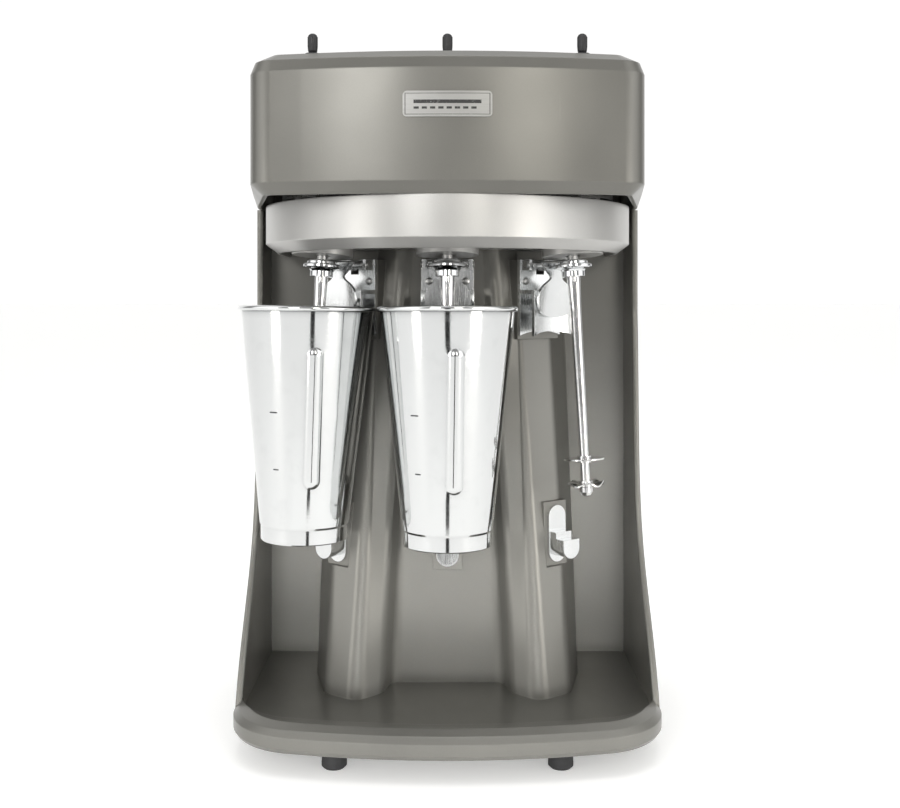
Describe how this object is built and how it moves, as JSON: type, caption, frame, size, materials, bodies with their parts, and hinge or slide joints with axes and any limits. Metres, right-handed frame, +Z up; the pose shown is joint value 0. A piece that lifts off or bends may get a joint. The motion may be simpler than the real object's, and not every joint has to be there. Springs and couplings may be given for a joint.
{
  "type": "milkshake mixer",
  "caption": "Upright counter-top milkshake mixer with leaning spindles, hanging steel cups, cup guides and rests, and toggle switches on the head.",
  "frame": {"origin": "on the counter, under the middle of the machine's bounding box", "axes": "+Z up, -Y towards the person using it, +X to that person's right"},
  "size_m": [0.3147, 0.2322, 0.521],
  "materials": {
    "paint": "grey metallic paint on a casting",
    "cover_paint": "grey paint, satin",
    "silver": "light silver, satin",
    "badge": "brushed, blank",
    "chrome": "polished",
    "stainless": "polished",
    "rubber": "matt",
    "black_plastic": "satin",
    "steel": "plated",
    "bare_aluminium": "as cast",
    "carbon": "matt"
  },
  "bodies": {
    "machine": {"base_plate": "cover_paint", "bracket_screws": "steel", "brush_holders": "black_plastic", "carbon_brushes": "carbon", "centre_cup_guide": "chrome", "centre_cup_rest": "chrome", "centre_motor_stator": "steel", "cord_inlet_bush": "black_plastic", "cover_screws": "steel", "foot_screws": "steel", "head_cover": "paint", "head_tray": "silver", "left_cup_guide": "chrome", "left_cup_rest": "chrome", "left_motor_stator": "steel", "lever_pins": "steel", "microswitches": "black_plastic", "motor_bearings": "steel", "motor_grommets": "rubber", "motor_lower_brackets": "bare_aluminium", "motor_mount_screws": "steel", "motor_through_bolts": "steel", "motor_upper_brackets": "bare_aluminium", "nameplate": "badge", "rear_cover": "cover_paint", "right_cup_guide": "chrome", "right_cup_rest": "chrome", "right_motor_stator": "steel", "rubber_feet": "rubber", "spindle_bosses": "silver", "stand_casting": "paint", "toggle_nuts": "chrome", "toggle_switch_bodies": "black_plastic"},
    "left_spindle": {"left_armature": "steel", "left_cooling_fan": "black_plastic", "left_spindle_nose": "chrome", "left_agitator_shaft": "stainless", "left_agitator_discs": "stainless"},
    "left_lever": {"left_switch_lever": "chrome"},
    "left_plunger": {"left_switch_plunger": "black_plastic"},
    "left_toggle": {"left_toggle_lever": "black_plastic"},
    "centre_spindle": {"centre_armature": "steel", "centre_cooling_fan": "black_plastic", "centre_spindle_nose": "chrome", "centre_agitator_shaft": "stainless", "centre_agitator_discs": "stainless"},
    "centre_lever": {"centre_switch_lever": "chrome"},
    "centre_plunger": {"centre_switch_plunger": "black_plastic"},
    "centre_toggle": {"centre_toggle_lever": "black_plastic"},
    "right_spindle": {"right_armature": "steel", "right_cooling_fan": "black_plastic", "right_spindle_nose": "chrome", "right_agitator_shaft": "stainless", "right_agitator_discs": "stainless"},
    "right_lever": {"right_switch_lever": "chrome"},
    "right_plunger": {"right_switch_plunger": "black_plastic"},
    "right_toggle": {"right_toggle_lever": "black_plastic"},
    "left_cup_body": {"left_cup": "stainless"},
    "centre_cup_body": {"centre_cup": "stainless"}
  },
  "joints": [
    {"name": "left_spindle_spin", "type": "hinge", "parent": "machine", "child": "left_spindle", "pos_m": [-0.09618, -0.01597, 0.363], "axis": [0.05, 0.0714, 0.9962], "continuous": true},
    {"name": "left_lever_swing", "type": "hinge", "parent": "machine", "child": "left_lever", "pos_m": [-0.07834, 0.0095, 0.357], "axis": [-0.8192, 0.5736, 0], "range_deg": [0, 3], "stiffness_Nm_per_rad": 0.3, "springref_deg": -5.16},
    {"name": "left_plunger_press", "type": "slide", "parent": "machine", "child": "left_plunger", "axis": [0, 0, -1], "range_m": [0, 0.00177], "stiffness_N_per_m": 30, "springref_m": -0.001},
    {"name": "left_toggle_tilt", "type": "hinge", "parent": "machine", "child": "left_toggle", "pos_m": [-0.097, -0.07, 0.5], "axis": [1, 0, 0], "range_deg": [-12, 12]},
    {"name": "centre_spindle_spin", "type": "hinge", "parent": "machine", "child": "centre_spindle", "pos_m": [0, -0.0351, 0.363], "axis": [0, 0.0872, 0.9962], "continuous": true},
    {"name": "centre_lever_swing", "type": "hinge", "parent": "machine", "child": "centre_lever", "pos_m": [0, -0.004, 0.357], "axis": [-1, 0, 0], "range_deg": [0, 3], "stiffness_Nm_per_rad": 0.3, "springref_deg": -5.16},
    {"name": "centre_plunger_press", "type": "slide", "parent": "machine", "child": "centre_plunger", "axis": [0, 0, -1], "range_m": [0, 0.00177], "stiffness_N_per_m": 30, "springref_m": -0.001},
    {"name": "centre_toggle_tilt", "type": "hinge", "parent": "machine", "child": "centre_toggle", "pos_m": [0, -0.07, 0.5], "axis": [1, 0, 0], "range_deg": [-12, 12]},
    {"name": "right_spindle_spin", "type": "hinge", "parent": "machine", "child": "right_spindle", "pos_m": [0.09618, -0.01597, 0.363], "axis": [-0.05, 0.0714, 0.9962], "continuous": true},
    {"name": "right_lever_swing", "type": "hinge", "parent": "machine", "child": "right_lever", "pos_m": [0.07834, 0.0095, 0.357], "axis": [-0.8192, -0.5736, 0], "range_deg": [0, 6], "stiffness_Nm_per_rad": 0.3, "springref_deg": -1.72},
    {"name": "right_plunger_press", "type": "slide", "parent": "machine", "child": "right_plunger", "axis": [0, 0, -1], "range_m": [0, 0.00334], "stiffness_N_per_m": 30, "springref_m": -0.001},
    {"name": "right_toggle_tilt", "type": "hinge", "parent": "machine", "child": "right_toggle", "pos_m": [0.097, -0.07, 0.5], "axis": [1, 0, 0], "range_deg": [-12, 12]},
    {"name": "left_cup_lift", "type": "slide", "parent": "machine", "child": "left_cup_body", "axis": [0.015, 0.0214, 0.9997], "range_m": [0, 0.008]},
    {"name": "centre_cup_lift", "type": "slide", "parent": "machine", "child": "centre_cup_body", "axis": [0, 0.0262, 0.9997], "range_m": [0, 0.008]}
  ],
  "couplings": [
    {"joint": "left_plunger_press", "follows": "left_lever_swing", "m_per_rad": 0.03},
    {"joint": "centre_plunger_press", "follows": "centre_lever_swing", "m_per_rad": 0.03},
    {"joint": "right_plunger_press", "follows": "right_lever_swing", "m_per_rad": 0.03}
  ]
}
